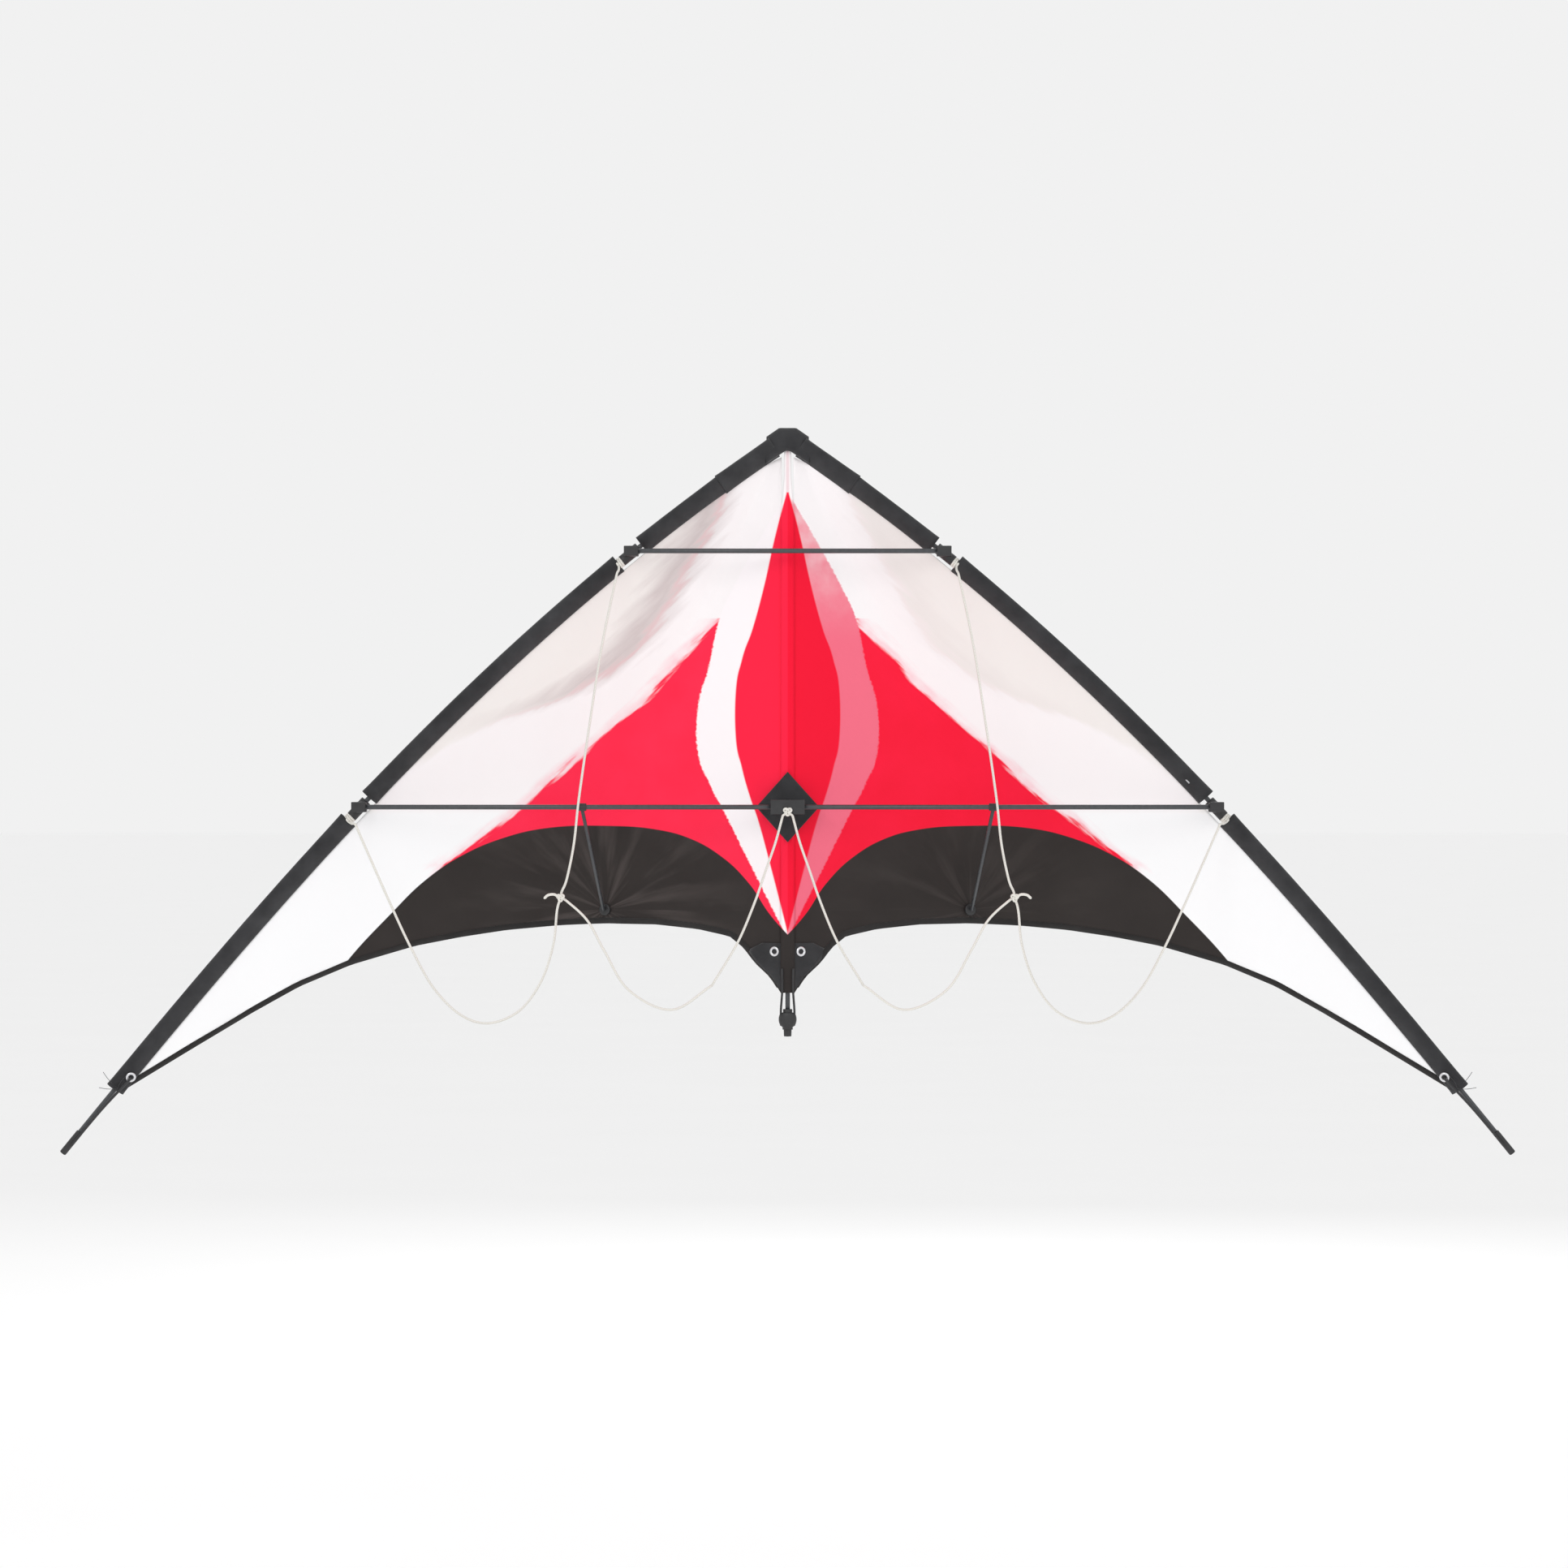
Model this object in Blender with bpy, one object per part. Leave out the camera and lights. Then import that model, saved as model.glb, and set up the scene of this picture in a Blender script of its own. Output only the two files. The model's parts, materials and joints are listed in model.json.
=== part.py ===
"""Two-line swept delta stunt kite, 1.2 m span, opened out and hanging from its nose.

Units are metres. +X is the kite's right as seen from the front, +Y is behind the sail and +Z is up.
The origin is the middle of the nose's flat top. Each wing is two flat sail panels that meet at a
crease from the nose to the trailing edge. The crease lies behind the frame, held there by a standoff.
"""
import math

import bmesh
import bpy
from mathutils import Matrix, Vector

MM = 0.001

# Driving dimensions
LE_LENGTH = 838 * MM
LE_SLOPE_TOP = math.radians(56)      # from the vertical, at the nose
LE_SLOPE_TIP = math.radians(39.5)
LE_BEND = 1.8                        # how fast the slope falls off from the nose
WING_CHORD = math.radians(47.8)      # where the outer panel meets the plane y = 0, from the vertical
LE_START = Vector((5 * MM, 0, -12 * MM))
HINGE_X = 5 * MM                     # fold line of each inner panel, beside the spine
HINGE_Y = 1 * MM
APEX = Vector((HINGE_X, HINGE_Y, -12 * MM))
INNER_DIHEDRAL = math.radians(23)    # inner panel, swept back from the kite's plane
CREASE_ANGLE = math.radians(27)      # crease, from the spine, measured in the inner panel
CREASE_LENGTH = 448 * MM
CLOTH = 0.8 * MM
SAIL_STATIONS = 20
SAIL_TOP_S = 92 * MM                  # where the outer panel starts along the leading edge
GAP = 0.3 * MM

ROD_R = 2 * MM
BORE_R = ROD_R + GAP
SPINE_Y = 3.5 * MM
SPINE_TOP = -40 * MM
SPINE_END = -478 * MM
CAP_END = -501 * MM
SPREADER_Y = -16 * MM
UPPER_Z = -102 * MM
LOWER_Z = -312 * MM
UPPER_S = 155 * MM                   # distance along the leading edge to each connector
LOWER_S = 461 * MM
SLEEVE_END_S = 768 * MM
ROD_JOIN_S = 408 * MM
NOCK_S = 815 * MM
CUTOUT = 13 * MM                     # half the length of a sleeve cut-out
SLEEVE_W = 8 * MM                    # half width and half thickness
SLEEVE_T = 4.5 * MM
STANDOFF_TOP = Vector((169 * MM, SPREADER_Y + 3.5 * MM, LOWER_Z))
STANDOFF_FOOT_X = 152 * MM
STANDOFF_FOOT_Z = -398 * MM
CORD_R = 1 * MM

# Trailing edge, from the tail to the tip
INNER_TRAIL = [(5, -470), (14, -452), (34, -431), (42, -421), (74, -413), (120, -409), (160, -409)]
OUTER_TRAIL = [(235, -414), (309, -426), (360, -440), (437, -476), (500, -513), (535, -532)]

# Bridle, from each attachment to the tow point, as (x, y, z)
UPPER_LEG = [(140, -22, -122), (152, -22, -180), (163, -22, -250), (171, -22, -306),
             (175, -21, -342), (181, -18, -371), (185, -18, -381)]
OUTER_LEG = [(354, -21, -326), (340, -21, -358), (324, -21, -394), (308, -21, -428), (290, -21, -460),
             (268, -21, -482), (245, -21, -489), (220, -21, -479), (202, -20, -455), (192, -19, -425),
             (189, -18, -397)]
CENTRE_LEG = [(4, -21, -319), (10, -21, -341), (18, -21, -364), (27, -21, -390), (41, -21, -423),
              (62, -21, -458), (95, -21, -478), (130, -21, -462), (150, -20, -430), (164, -19, -405),
              (181, -18, -389)]
TOW_POINT = (186, -18, -386)
TAIL_BUNGEE = [(4.6, -1.6, -445), (4.4, -1.2, -462), (5.6, 1.5, -480), (5.4, 3, -492)]

COLORS = {
    "red": (0.85, 0.02, 0.05), "white": (0.90, 0.89, 0.88), "black_cloth": (0.03, 0.028, 0.027),
    "rod": (0.04, 0.045, 0.05), "vinyl": (0.02, 0.02, 0.02), "metal": (0.65, 0.66, 0.68),
    "cord": (0.88, 0.86, 0.82),
}
ROUGHNESS = {"rod": 0.35, "vinyl": 0.45, "metal": 0.3}


def material(name):
    mat = bpy.data.materials.get(name)
    if mat is None:
        mat = bpy.data.materials.new(name)
        mat.use_nodes = True
        shader = mat.node_tree.nodes["Principled BSDF"]
        shader.inputs["Base Color"].default_value = (*COLORS[name], 1)
        shader.inputs["Roughness"].default_value = ROUGHNESS.get(name, 0.8)
        shader.inputs["Metallic"].default_value = 1.0 if name == "metal" else 0.0
    return mat


def keep(obj, name, mat, collection="delta_kite"):
    """Name an object, give it its material and move it to the kite's collection."""
    obj.name = name
    obj.data.name = name
    obj.data.materials.clear()
    obj.data.materials.append(material(mat))
    for owner in list(obj.users_collection):
        owner.objects.unlink(obj)
    bpy.data.collections[collection].objects.link(obj)
    return obj


def mesh_object(bm):
    bmesh.ops.recalc_face_normals(bm, faces=bm.faces)
    if bm.calc_volume(signed=True) < 0:
        bmesh.ops.reverse_faces(bm, faces=bm.faces)
    mesh = bpy.data.meshes.new("mesh")
    bm.to_mesh(mesh)
    bm.free()
    obj = bpy.data.objects.new("mesh", mesh)
    bpy.context.scene.collection.objects.link(obj)
    return obj


def mirrored(side, point):
    return Vector((side * point[0], point[1], point[2]))


# ---- Leading edge and sail planes -------------------------------------------------------------

def wing_normal():
    """Unit normal, pointing back, of the outer panel, which holds the crease and the chord."""
    chord = Vector((math.sin(WING_CHORD), 0, -math.cos(WING_CHORD)))
    normal = (crease_end() - APEX).cross(chord).normalized()
    return normal if normal.y > 0 else -normal


def crease_end():
    across = CREASE_LENGTH * math.sin(CREASE_ANGLE)
    return APEX + Vector((across * math.cos(INNER_DIHEDRAL), across * math.sin(INNER_DIHEDRAL),
                          -CREASE_LENGTH * math.cos(CREASE_ANGLE)))


def inner_normal():
    return Vector((-math.sin(INNER_DIHEDRAL), math.cos(INNER_DIHEDRAL), 0))


def on_plane(x, z, normal):
    """The point of a sail plane through the apex that stands behind (x, z)."""
    y = APEX.y - (normal.x * (x - APEX.x) + normal.z * (z - APEX.z)) / normal.y
    return Vector((x, y, z))


def le_slope(s):
    return LE_SLOPE_TIP + (LE_SLOPE_TOP - LE_SLOPE_TIP) * max(0.0, 1 - s / LE_LENGTH) ** LE_BEND


def le_point(s, side=1):
    """Centre of the leading edge at a distance s from the nose, and its direction there."""
    steps = 60
    x, z = LE_START.x, LE_START.z
    for i in range(steps):
        slope = le_slope((i + 0.5) * s / steps)
        x += math.sin(slope) * s / steps
        z -= math.cos(slope) * s / steps
    slope = le_slope(s)
    here = on_plane(x, z, wing_normal())
    ahead = on_plane(x + math.sin(slope), z - math.cos(slope), wing_normal())
    return mirrored(side, here), mirrored(side, (ahead - here).normalized())


def le_frame(s, side):
    """Centre, tangent, outward direction in the sail's plane, and the plane's normal."""
    centre, tangent = le_point(s, side)
    normal = mirrored(side, wing_normal())
    outward = tangent.cross(normal).normalized()
    if outward.x * side < 0:
        outward.negate()
    return centre, tangent, outward, normal


# ---- Shape helpers ----------------------------------------------------------------------------

def tube(name, points, radius, mat, resolution=2):
    """A round rod or cord along points, as a curve with filled caps."""
    curve = bpy.data.curves.new(name, "CURVE")
    curve.dimensions = "3D"
    curve.bevel_depth = radius
    curve.bevel_resolution = resolution
    curve.use_fill_caps = True
    spline = curve.splines.new("POLY")
    spline.points.add(len(points) - 1)
    for slot, point in zip(spline.points, points):
        slot.co = (*point, 1)
    obj = bpy.data.objects.new(name, curve)
    bpy.context.scene.collection.objects.link(obj)
    return keep(obj, name, mat)


def smooth_route(points, spacing=5 * MM):
    """A Catmull-Rom curve through the route's points, about one spacing apart."""
    ends = [2 * points[0] - points[1], *points, 2 * points[-1] - points[-2]]
    out = []
    for i in range(1, len(ends) - 2):
        p0, p1, p2, p3 = ends[i - 1:i + 3]
        steps = max(1, round((p2 - p1).length / spacing))
        for k in range(steps):
            t = k / steps
            out.append(0.5 * (2 * p1 + (p2 - p0) * t + (2 * p0 - 5 * p1 + 4 * p2 - p3) * t ** 2
                              + (3 * p1 - p0 - 3 * p2 + p3) * t ** 3))
    out.append(points[-1])
    return out


def ring_loft(rings):
    """A closed body whose rings follow one another and join last to first, like a hollow tube."""
    bm = bmesh.new()
    rows = [[bm.verts.new(p) for p in ring] for ring in rings]
    for row, following in zip(rows, rows[1:] + rows[:1]):
        for i in range(len(row)):
            j = (i + 1) % len(row)
            bm.faces.new((row[i], row[j], following[j], following[i]))
    return mesh_object(bm)


def sleeve(name, side, start, end, half_width, half_thick, mat, wall=0.9 * MM, sides=12):
    """A flattened fabric tube round the leading edge, open at both ends."""
    count = max(2, round((end - start) / (36 * MM)))
    outer, inner = [], []
    for i in range(count + 1):
        centre, _, outward, normal = le_frame(start + (end - start) * i / count, side)
        for rings, shrink in ((outer, 0), (inner, wall)):
            rings.append([centre + outward * (half_width - shrink) * math.cos(a)
                          + normal * (half_thick - shrink) * math.sin(a)
                          for a in (2 * math.pi * k / sides for k in range(sides))])
    return keep(ring_loft(outer + inner[::-1]), name, mat)


def box(size, centre):
    bm = bmesh.new()
    bmesh.ops.create_cube(bm, size=1)
    bmesh.ops.scale(bm, vec=size, verts=bm.verts)
    bmesh.ops.translate(bm, vec=centre, verts=bm.verts)
    return mesh_object(bm)


def cylinder(start, end, radius, sides=16, end_radius=None):
    bm = bmesh.new()
    axis = Vector(end) - Vector(start)
    bmesh.ops.create_cone(bm, cap_ends=True, segments=sides, radius1=radius,
                          radius2=radius if end_radius is None else end_radius, depth=axis.length)
    turn = axis.to_track_quat("Z", "Y").to_matrix().to_4x4()
    place = Matrix.Translation((Vector(start) + Vector(end)) / 2) @ turn
    bmesh.ops.transform(bm, matrix=place, verts=bm.verts)
    return mesh_object(bm)


def combine(base, others, operation):
    """Join or cut a mesh object with others, which become hidden cutters."""
    for other in others:
        keep(other, base.name + "_tool", "vinyl", "cutters")
        other.hide_render = True
        other.display_type = "WIRE"
        step = base.modifiers.new(operation.lower(), "BOOLEAN")
        step.operation = operation
        step.object = other
    return base


def plate(name, outline, thick_to, mat):
    """A flat sheet from its front outline, with its thickness on the side of thick_to."""
    bm = bmesh.new()
    front = [bm.verts.new(p) for p in outline]
    sheet = bm.faces.new(front)
    made = bmesh.ops.extrude_face_region(bm, geom=[sheet])
    moved = [v for v in made["geom"] if isinstance(v, bmesh.types.BMVert)]
    bmesh.ops.translate(bm, vec=thick_to, verts=moved)
    bmesh.ops.triangulate(bm, faces=[f for f in bm.faces if len(f.verts) > 4])
    return keep(mesh_object(bm), name, mat)


# ---- Sail --------------------------------------------------------------------------------------

def inner_panel(side, tag):
    """From the spine's fold line to the crease."""
    inset = CLOTH
    normal = inner_normal()
    outline = [on_plane(APEX.x, -42 * MM, normal)]
    outline += [on_plane(x * MM, z * MM, normal) for x, z in INNER_TRAIL]
    away = (crease_end() - APEX).normalized()
    inward = normal.cross(away).normalized()
    if inward.x > 0:
        inward.negate()
    outline.append(crease_end() + inward * inset)
    outline.append(APEX + away * 58 * MM + inward * inset)
    return plate(f"inner_sail_{tag}", [mirrored(side, p) for p in outline],
                 mirrored(side, normal) * CLOTH, "red")


def evenly(points, count):
    """Points spaced evenly along a polyline, both ends included."""
    lengths = [(q - p).length for p, q in zip(points, points[1:])]
    out = []
    for i in range(count):
        want = sum(lengths) * i / (count - 1)
        k = 0
        while k < len(lengths) - 1 and want > lengths[k]:
            want -= lengths[k]
            k += 1
        out.append(points[k].lerp(points[k + 1], min(1.0, want / lengths[k])))
    return out


def outer_panel(side, tag):
    """From the crease to the leading-edge sleeve, as a ladder of quads between its two long edges."""
    normal = wing_normal()
    away = (crease_end() - APEX).normalized()
    outward = away.cross(normal).normalized()
    if outward.x < 0:
        outward.negate()
    trailing = [on_plane(x * MM, z * MM, normal) for x, z in OUTER_TRAIL]
    crease = [APEX + away * 58 * MM + outward * CLOTH, crease_end() + outward * CLOTH]
    front_edge = []
    for i in range(SAIL_STATIONS):
        s = SAIL_TOP_S + (SLEEVE_END_S - SAIL_TOP_S) * i / (SAIL_STATIONS - 1)
        centre, _, out, _ = le_frame(s, 1)
        front_edge.append(centre - out * (SLEEVE_W + GAP))
    thick = normal * CLOTH
    rings = []
    for inner, outer in zip(evenly(crease + trailing, SAIL_STATIONS), evenly(front_edge, SAIL_STATIONS)):
        rings.append([mirrored(side, p) for p in (inner, outer, outer + thick, inner + thick)])
    bm = bmesh.new()
    rows = [[bm.verts.new(p) for p in ring] for ring in rings]
    for row, following in zip(rows, rows[1:]):
        for i in range(4):
            j = (i + 1) % 4
            bm.faces.new((row[i], row[j], following[j], following[i]))
    bm.faces.new(rows[0])
    bm.faces.new(rows[-1])
    keep(mesh_object(bm), f"outer_sail_{tag}", "white")


# ---- Frame -------------------------------------------------------------------------------------

def leading_edge(side, tag):
    """Two rods joined by a ferrule, the sleeves round them, the nose cover and the nock."""
    rods = [("upper", 26 * MM, ROD_JOIN_S - GAP), ("lower", ROD_JOIN_S + GAP, NOCK_S - GAP)]
    for place, start, end in rods:
        steps = 40
        route = [le_point(start + (end - start) * i / steps, side)[0] for i in range(steps + 1)]
        tube(f"leading_edge_rod_{place}_{tag}", route, ROD_R, "rod")
    half = 24 * MM
    rings = []
    for radius, stations in ((3.1 * MM, (-1, 0, 1)), (BORE_R, (1, 0, -1))):
        for t in stations:
            centre, _, out, normal = le_frame(ROD_JOIN_S + t * half, side)
            rings.append([centre + out * radius * math.cos(a) + normal * radius * math.sin(a)
                          for a in (2 * math.pi * k / 16 for k in range(16))])
    keep(ring_loft(rings), f"leading_edge_ferrule_{tag}", "metal")
    sleeve(f"nose_cover_{tag}", side, 24 * MM, 60 * MM, 6.5 * MM, 3.6 * MM, "black_cloth")
    spans = (("upper", 62 * MM, UPPER_S - CUTOUT), ("middle", UPPER_S + CUTOUT, LOWER_S - CUTOUT),
             ("lower", LOWER_S + CUTOUT, SLEEVE_END_S))
    for place, start, end in spans:
        sleeve(f"sleeve_{place}_{tag}", side, start, end, SLEEVE_W, SLEEVE_T, "black_cloth")
    start, along = le_point(NOCK_S, side)
    keep(cylinder(start, start + along * 23 * MM, 2.9 * MM), f"nock_{tag}", "vinyl")


def connector(side, tag, place, s, level, open_down):
    """Vinyl fitting on the leading edge, with a channel that the spreader's end lies in."""
    centre, tangent, _, _ = le_frame(s, side)
    body = cylinder(centre - tangent * 9 * MM, centre + tangent * 9 * MM, 4.6 * MM)
    name = f"{place}_connector_{tag}"
    inner_x = centre.x - side * 1 * MM
    keep(body, name, "vinyl")
    depth = centre.y - SPREADER_Y + 4 * MM
    block = box((12 * MM, depth, 8.4 * MM), (inner_x, SPREADER_Y - 4 * MM + depth / 2, level))
    combine(body, [block], "UNION")
    bore = cylinder(centre - tangent * 12 * MM, centre + tangent * 12 * MM, BORE_R + 2 * GAP)
    drop = -1 if open_down else 1
    slot = box((20 * MM, 5.4 * MM, 12 * MM), (inner_x, SPREADER_Y, level + drop * 3.4 * MM))
    combine(body, [bore, slot], "DIFFERENCE")


def spreaders():
    """The upper rod, the lower rod's two halves, and the clip on each half for its standoff."""
    half = abs(le_point(UPPER_S)[0].x) - 3 * MM
    keep(cylinder((-half, SPREADER_Y, UPPER_Z), (half, SPREADER_Y, UPPER_Z), ROD_R),
         "upper_spreader", "rod")
    reach = abs(le_point(LOWER_S)[0].x) - 2 * MM
    for side, tag in ((1, "right"), (-1, "left")):
        keep(cylinder((side * 7 * MM, SPREADER_Y, LOWER_Z), (side * reach, SPREADER_Y, LOWER_Z), ROD_R),
             f"lower_spreader_{tag}", "rod")
        clip = cylinder((side * 165 * MM, SPREADER_Y, LOWER_Z), (side * 173 * MM, SPREADER_Y, LOWER_Z),
                        3.2 * MM)
        keep(clip, f"standoff_clip_{tag}", "vinyl")
        bore = cylinder((side * 160 * MM, SPREADER_Y, LOWER_Z), (side * 178 * MM, SPREADER_Y, LOWER_Z),
                        BORE_R)
        combine(clip, [bore], "DIFFERENCE")


def centre_t():
    """Fitting on the spine: a stem through the sail and a channel for both spreader halves."""
    front = SPREADER_Y + 4 * MM
    back = SPINE_Y + 4 * MM
    stem = keep(box((6.4 * MM, back - front, 10 * MM), (0, (back + front) / 2, LOWER_Z)),
                "centre_tee", "vinyl")
    combine(stem, [box((28 * MM, 10 * MM, 12 * MM), (0, SPREADER_Y, LOWER_Z))], "UNION")
    bore = cylinder((0, SPINE_Y, LOWER_Z - 9 * MM), (0, SPINE_Y, LOWER_Z + 9 * MM), BORE_R)
    slot = box((40 * MM, 5.4 * MM, 12 * MM), (0, SPREADER_Y, LOWER_Z - 2.6 * MM))
    combine(stem, [bore, slot], "DIFFERENCE")


def spine():
    """Spine rod with its end cap, the tape over the sail's centre, the nose block and tail bungees."""
    keep(cylinder((0, SPINE_Y, SPINE_TOP - GAP), (0, SPINE_Y, SPINE_END), ROD_R), "spine_rod", "rod")
    keep(cylinder((0, SPINE_Y, SPINE_END - GAP), (0, SPINE_Y, CAP_END), 4 * MM, end_radius=3.2 * MM),
         "spine_cap", "vinyl")
    tapes = (("upper", -44 * MM, LOWER_Z + 7 * MM), ("lower", LOWER_Z - 7 * MM, -452 * MM))
    for place, top, bottom in tapes:
        keep(box((7.2 * MM, 0.8 * MM, top - bottom), (0, 0.8 * MM, (top + bottom) / 2)),
             f"spine_tape_{place}", "red")
    nose = keep(box((14 * MM, 13 * MM, 7 * MM), (0, 2.5 * MM, -3.5 * MM)), "nose_block", "black_cloth")
    combine(nose, [box((5.2 * MM, 9 * MM, 36 * MM), (0, 3.5 * MM, -22 * MM))], "UNION")
    for side, tag in ((1, "right"), (-1, "left")):
        route = [mirrored(side, Vector(p) * MM) for p in TAIL_BUNGEE]
        tube(f"tail_bungee_{tag}", smooth_route(route), CORD_R, "vinyl")


def diamond_patch():
    """Patch on the front of the sail round the centre tee's stem, with a hole for the stem."""
    curve = bpy.data.curves.new("diamond_patch", "CURVE")
    curve.dimensions = "2D"
    curve.fill_mode = "BOTH"
    curve.extrude = 0.4 * MM
    outer = [(0, 29), (26, 0), (0, -29), (-26, 0)]
    hole = [(3.6, 5.6), (3.6, -5.6), (-3.6, -5.6), (-3.6, 5.6)]
    for corners in (outer, hole):
        spline = curve.splines.new("POLY")
        spline.use_cyclic_u = True
        spline.points.add(3)
        for slot, (x, y) in zip(spline.points, corners):
            slot.co = (x * MM, y * MM, 0, 1)
    flat = bpy.data.objects.new("diamond_patch", curve)
    bpy.context.scene.collection.objects.link(flat)
    flat.location = (0, -1.6 * MM, LOWER_Z)
    flat.rotation_euler = (math.pi / 2, 0, 0)
    bpy.context.view_layer.update()
    ready = flat.evaluated_get(bpy.context.evaluated_depsgraph_get())
    mesh = bpy.data.meshes.new_from_object(ready)
    bm = bmesh.new()
    bm.from_mesh(mesh)
    bmesh.ops.remove_doubles(bm, verts=bm.verts, dist=0.01 * MM)
    place = flat.matrix_world.copy()
    bpy.data.objects.remove(flat)
    obj = mesh_object(bm)
    obj.matrix_world = place
    keep(obj, "diamond_patch", "black_cloth")


def standoff(side, tag):
    """Rod from the lower spreader back to the sail, with a vinyl foot on the sail."""
    normal = mirrored(side, inner_normal())
    foot = mirrored(side, on_plane(STANDOFF_FOOT_X, STANDOFF_FOOT_Z, inner_normal()))
    keep(cylinder(foot - normal * GAP, foot - normal * 3 * MM, 5 * MM, sides=12),
         f"standoff_foot_{tag}", "vinyl")
    base = foot - normal * 5 * MM
    top = mirrored(side, STANDOFF_TOP)
    keep(cylinder(base, base + (top - base) * 0.985, 1.5 * MM, sides=12), f"standoff_rod_{tag}", "rod")


def bridle(side, tag):
    """Three legs from the frame to the knot that a flying line ties to."""
    for place, route in (("upper", UPPER_LEG), ("outer", OUTER_LEG), ("centre", CENTRE_LEG)):
        points = [mirrored(side, Vector(p) * MM) for p in route]
        tube(f"bridle_{place}_{tag}", smooth_route(points, 8 * MM), CORD_R, "cord")
    centre = mirrored(side, Vector(TOW_POINT) * MM)
    keep(box((5 * MM, 6 * MM, 5 * MM), centre - Vector((0, 4.5 * MM, 0))), f"tow_point_{tag}", "cord")


def tip(side, tag):
    """Grommet on the front of the sail's corner and the bungee from it to the nock."""
    centre, _, out, normal = le_frame(SLEEVE_END_S - 16 * MM, side)
    spot = centre - out * 2 * MM - normal * SLEEVE_T
    ring = keep(cylinder(spot - normal * 1.5 * MM, spot - normal * GAP, 4.2 * MM), f"tip_grommet_{tag}",
                "metal")
    combine(ring, [cylinder(spot - normal * 3 * MM, spot + normal * 3 * MM, 2 * MM)], "DIFFERENCE")
    middle, _, _, _ = le_frame(SLEEVE_END_S + 18 * MM, side)
    end, _, _, _ = le_frame(NOCK_S + 12 * MM, side)
    cord_r = 1.1 * MM
    route = [spot - normal * (1.5 * MM + GAP + cord_r), middle - normal * 6 * MM,
             end - normal * (2.9 * MM + GAP + cord_r)]
    tube(f"tip_bungee_{tag}", smooth_route(route), cord_r, "vinyl")


def main():
    for obj in list(bpy.data.objects):
        bpy.data.objects.remove(obj)
    for name in ("delta_kite", "cutters"):
        bpy.context.scene.collection.children.link(bpy.data.collections.new(name))
    spine()
    centre_t()
    diamond_patch()
    spreaders()
    for side, tag in ((1, "right"), (-1, "left")):
        inner_panel(side, tag)
        outer_panel(side, tag)
        leading_edge(side, tag)
        connector(side, tag, "upper", UPPER_S, UPPER_Z, open_down=side > 0)
        connector(side, tag, "lower", LOWER_S, LOWER_Z, open_down=True)
        standoff(side, tag)
        tip(side, tag)
        bridle(side, tag)


main()
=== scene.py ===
import json
import math

import bmesh
import bpy
import numpy as np
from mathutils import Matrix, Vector


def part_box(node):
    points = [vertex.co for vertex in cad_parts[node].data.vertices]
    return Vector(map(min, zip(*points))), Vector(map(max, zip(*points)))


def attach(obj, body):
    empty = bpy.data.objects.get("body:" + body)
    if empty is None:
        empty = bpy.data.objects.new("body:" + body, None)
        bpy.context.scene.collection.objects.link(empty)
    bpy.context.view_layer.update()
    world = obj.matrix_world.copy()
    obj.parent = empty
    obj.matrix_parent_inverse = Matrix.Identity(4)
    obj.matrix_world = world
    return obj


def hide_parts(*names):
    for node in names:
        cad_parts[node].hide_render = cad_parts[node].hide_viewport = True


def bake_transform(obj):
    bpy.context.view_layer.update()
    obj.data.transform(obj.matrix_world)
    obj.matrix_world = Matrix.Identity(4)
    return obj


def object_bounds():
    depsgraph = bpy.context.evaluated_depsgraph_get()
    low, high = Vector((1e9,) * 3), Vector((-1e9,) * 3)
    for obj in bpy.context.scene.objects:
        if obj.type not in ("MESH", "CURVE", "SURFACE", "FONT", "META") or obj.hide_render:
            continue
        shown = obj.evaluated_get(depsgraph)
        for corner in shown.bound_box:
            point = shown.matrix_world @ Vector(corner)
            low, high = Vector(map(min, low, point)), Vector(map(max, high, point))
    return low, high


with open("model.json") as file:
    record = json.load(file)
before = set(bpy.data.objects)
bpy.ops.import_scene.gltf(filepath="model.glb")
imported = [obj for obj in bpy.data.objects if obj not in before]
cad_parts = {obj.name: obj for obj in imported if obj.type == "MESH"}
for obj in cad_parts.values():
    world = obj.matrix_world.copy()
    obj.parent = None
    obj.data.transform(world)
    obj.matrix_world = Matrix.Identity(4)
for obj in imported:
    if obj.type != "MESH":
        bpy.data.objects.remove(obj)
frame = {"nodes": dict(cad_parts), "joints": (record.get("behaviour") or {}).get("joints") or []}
cad_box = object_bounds()
MM = 0.001
SIDES = ((1, "right"), (-1, "left"))

# The route of each bridle leg, as part.py has it, in mm before mirroring
UPPER_LEG = [(140, -22, -122), (152, -22, -180), (163, -22, -250), (171, -22, -306),
             (175, -21, -342), (181, -18, -371), (185, -18, -381)]
OUTER_LEG = [(354, -21, -326), (340, -21, -358), (324, -21, -394), (308, -21, -428), (290, -21, -460),
             (268, -21, -482), (245, -21, -489), (220, -21, -479), (202, -20, -455), (192, -19, -425),
             (189, -18, -397)]
CENTRE_LEG = [(4, -21, -319), (10, -21, -341), (18, -21, -364), (27, -21, -390), (41, -21, -423),
              (62, -21, -458), (95, -21, -478), (130, -21, -462), (150, -20, -430), (164, -19, -405),
              (181, -18, -389)]
CENTRE_SPLIT = 5       # point of the centre leg at its lowest stretch, where its two pieces meet
INTO_KNOT = (186, -20.5, -386.5)
PIGTAIL = [(1, 0, 0), (5, -0.5, 2.5), (10, -0.5, 2), (13, 0, -0.5)]
CORD_D = 2 * MM
ROD_R = 2 * MM

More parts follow.
